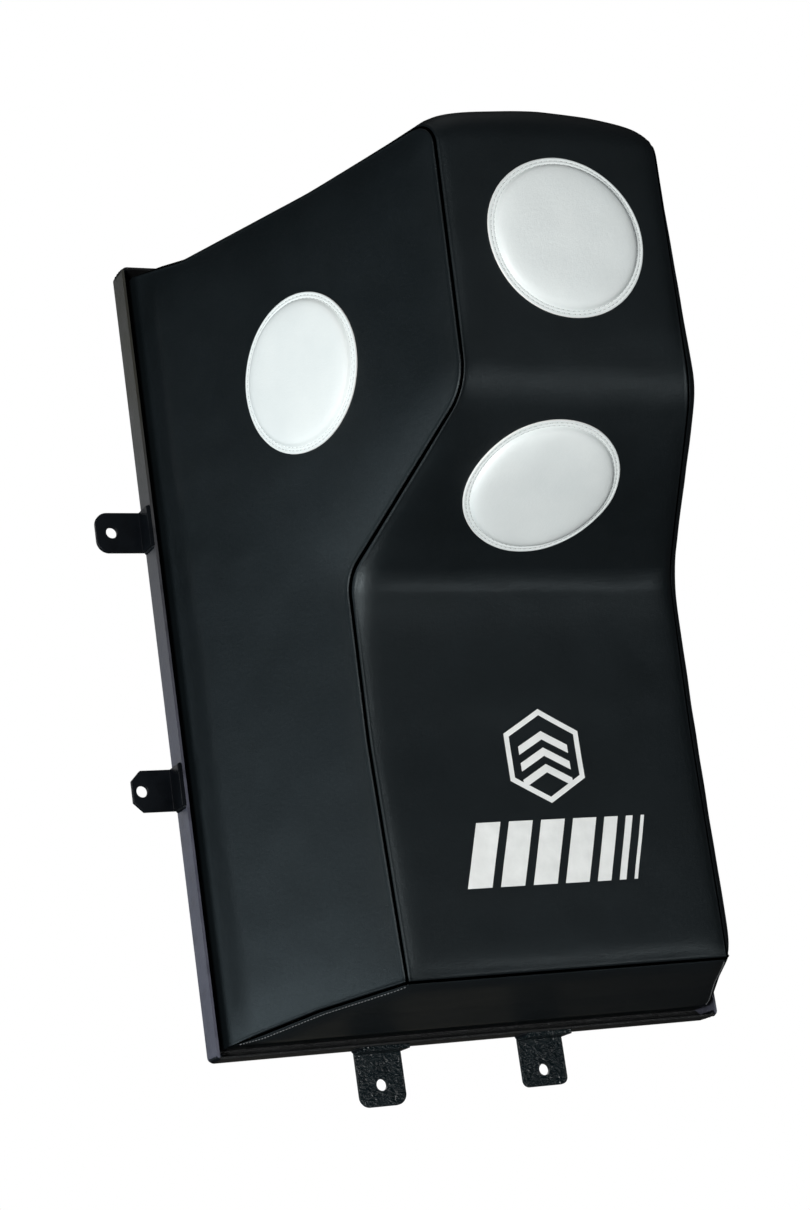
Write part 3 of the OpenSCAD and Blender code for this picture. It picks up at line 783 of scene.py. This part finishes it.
WALL = 0.003                                   # thickness of the angle
corner_beads, ear_beads = bmesh.new(), bmesh.new()
for sx in (-1, 1):
    for z, sz in ((ZLO, -1), (ZHI, 1)):
        x = sx * (HW - WALL - 0.0008)
        zz = z - sz * (WALL + 0.0008)
        weld_bead(corner_beads, (x, -LIP + 0.001, zz), (x, -WALL, zz), (-sx, 0, -sz), 0.0032)
for name in EARS:
    lo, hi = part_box(name)
    if "left_" in name or "right_" in name:
        sx = -1 if "left_" in name else 1
        for z in (lo.z, hi.z):
            weld_bead(ear_beads, (sx * HW, -LIP + 0.002, z), (sx * HW, -0.001, z), (sx, 0, 0), 0.0024)
    else:
        z = ZLO if "bottom" in name else ZHI
        for x in (lo.x, hi.x):
            weld_bead(ear_beads, (x, -LIP + 0.002, z), (x, -0.001, z), (0, 0, 1 if z > 0 else -1), 0.0024)
place(bm_object("corner_weld_beads", corner_beads), M_EAR, "frame_paint", "corner_welds")
place(bm_object("ear_weld_beads", ear_beads), M_EAR, "frame_paint", "ear_welds")
dress(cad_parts["backboard"], M_PLY)
dress(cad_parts["board_screws"], M_ZINC)
dress(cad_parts["hem_staples"], M_ZINC)

# ---------------------------------------------------------------- studio
cam_data = bpy.data.cameras.new("camera")
cam = bpy.data.objects.new("camera", cam_data)
scene.collection.objects.link(cam)
cam_data.sensor_width = 36
cam_data.lens = 82.9
# the camera's axes and place
right = Vector((0.899665, -0.413604, -0.139766))
down = Vector((-0.011065, 0.298434, -0.954366))
ahead = Vector((0.436440, 0.860157, 0.263914))
m = Matrix((right, -down, -ahead)).transposed().to_4x4()
m.translation = Vector((-1.398857, -2.761204, ZLO - 0.342535))
cam.matrix_world = m
scene.camera = cam

world = bpy.data.worlds.new("studio")
scene.world = world
world.use_nodes = True
wn = world.node_tree
wn.nodes.clear()
w_out = wn.nodes.new("ShaderNodeOutputWorld")
w_mix = wn.nodes.new("ShaderNodeMixShader")
w_ray = wn.nodes.new("ShaderNodeLightPath")
w_dim, w_white = wn.nodes.new("ShaderNodeBackground"), wn.nodes.new("ShaderNodeBackground")
w_dim.inputs["Color"].default_value = (0.95, 0.98, 1.0, 1)
w_dim.inputs["Strength"].default_value = 0.025
w_white.inputs["Strength"].default_value = 1.0
w_white.inputs["Color"].default_value = (1, 1, 1, 1)
wn.links.new(w_ray.outputs["Is Camera Ray"], w_mix.inputs[0])
wn.links.new(w_dim.outputs[0], w_mix.inputs[1])
wn.links.new(w_white.outputs[0], w_mix.inputs[2])
wn.links.new(w_mix.outputs[0], w_out.inputs[0])
scene.view_settings.view_transform = "Standard"


def softbox(name, where, aim, size, power, color=(1, 1, 1)):
    d = bpy.data.lights.new(name, "AREA")
    d.shape, d.size, d.size_y = "RECTANGLE", size[0], size[1]
    d.energy, d.color = power, color
    o = bpy.data.objects.new(name, d)
    scene.collection.objects.link(o)
    o.location = where
    o.visible_camera = False
    o.rotation_euler = (Vector(aim) - Vector(where)).to_track_quat("-Z", "Y").to_euler()


def mirror_spot(point, normal, distance):
    """Where a lamp has to stand to shine off the point, which faces along normal, into the camera."""
    n, v = Vector(normal).normalized(), (cam.location - point).normalized()
    return point + (2 * n.dot(v) * n - v) * distance


mid = (0, -0.2, ZC)
softbox("key", (-2.4, -2.5, -0.8), mid, (0.9, 0.9), 114, (1.0, 1.0, 0.99))
chin = Vector((0, -CHIN[0], CHIN[1]))
softbox("chin_glow", mirror_spot(chin, (0, -0.90, -0.44), 3.0), chin, (1.3, 0.5), 18, (0.97, 0.99, 1.0))
softbox("front_high", (1.3, -3.2, 1.5), mid, (1.8, 1.4), 4, (0.97, 0.99, 1.0))
softbox("front_left", (-1.3, -3.6, 0.9), mid, (0.8, 0.8), 3)
softbox("left_low", (-3.2, 0.9, -0.8), mid, (1.4, 1.6), 34, (0.82, 0.94, 1.0))
softbox("rear_left", (-1.5, 3.2, 1.0), mid, (0.9, 1.6), 7, (0.96, 0.97, 1.0))
softbox("under_back", (0.9, 2.6, -1.2), mid, (1.2, 0.5), 0.2, (1.0, 0.93, 0.72))
softbox("top", (0.2, -0.6, 2.8), mid, (2.0, 1.6), 3)
softbox("back", (0.8, 3.0, 1.0), mid, (1.6, 1.6), 25)

# grey floor, well below the part
fm = bpy.data.meshes.new("floor")
FLOOR_Z = -2.6
fm.from_pydata([(x, y, FLOOR_Z) for x, y in ((-6, -6), (6, -6), (6, 6), (-6, 6))], [], [(0, 1, 2, 3)])
floor = bpy.data.objects.new("floor", fm)
scene.collection.objects.link(floor)
dress(floor, plain("grey_floor", (0.20, 0.20, 0.20), (0.24, 0.24, 0.24), 2.0, 0.8))

bpy.context.view_layer.update()
